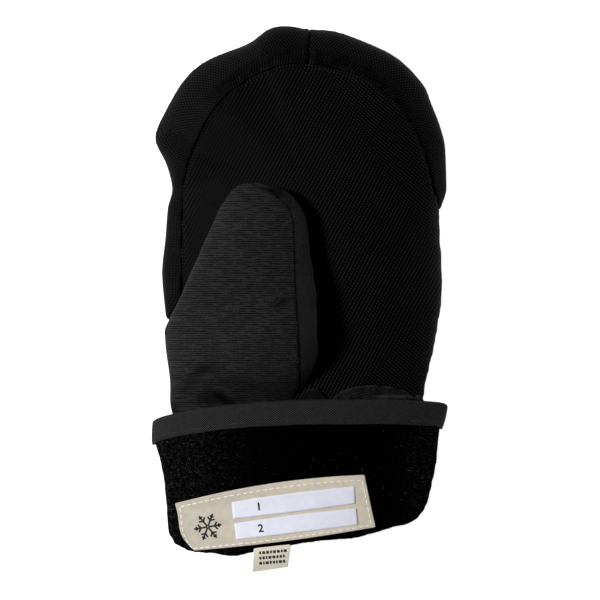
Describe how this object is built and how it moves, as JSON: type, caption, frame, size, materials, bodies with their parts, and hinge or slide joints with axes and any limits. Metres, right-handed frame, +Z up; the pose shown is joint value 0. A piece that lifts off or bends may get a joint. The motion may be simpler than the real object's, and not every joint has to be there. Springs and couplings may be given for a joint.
{
  "type": "mitten",
  "caption": "Child's padded winter mitten lying palm up, with the thumb folded over the palm and a turned-up fleece cuff edged with tape, a blank name label and a size tag.",
  "frame": {"origin": "centre of the part's box in X and Y, on the surface that the mitten's back lies on", "axes": "+Y from the cuff to the fingertips, +X to the side away from the thumb, +Z up out of the palm"},
  "size_m": [0.1066, 0.1964, 0.0485],
  "materials": {
    "shell_weave": "coarse dotted basket weave, nearly black, faint sheen",
    "thumb_rib": "fine crosswise rib, charcoal grey",
    "thumb_twill": "fine diagonal twill, dark grey",
    "fleece": "deep black brushed fleece with pale lint",
    "wrist_cloth": "gathered plain dark cloth",
    "binding_tape": "grey-black twill tape with a stitched edge",
    "label_satin": "beige woven label with cream stitching",
    "tag_satin": "pale beige printed tape"
  },
  "bodies": {
    "root": {"palm_panel": "shell_weave", "back_shell": "shell_weave", "tip_band_right": "shell_weave", "tip_band_left": "shell_weave", "thumb_front": "thumb_rib", "thumb_under": "thumb_twill", "cuff_lining": "fleece", "wrist_shell": "wrist_cloth", "cuff_binding": "binding_tape", "name_label": "label_satin", "size_tag": "tag_satin"}
  },
  "joints": []
}
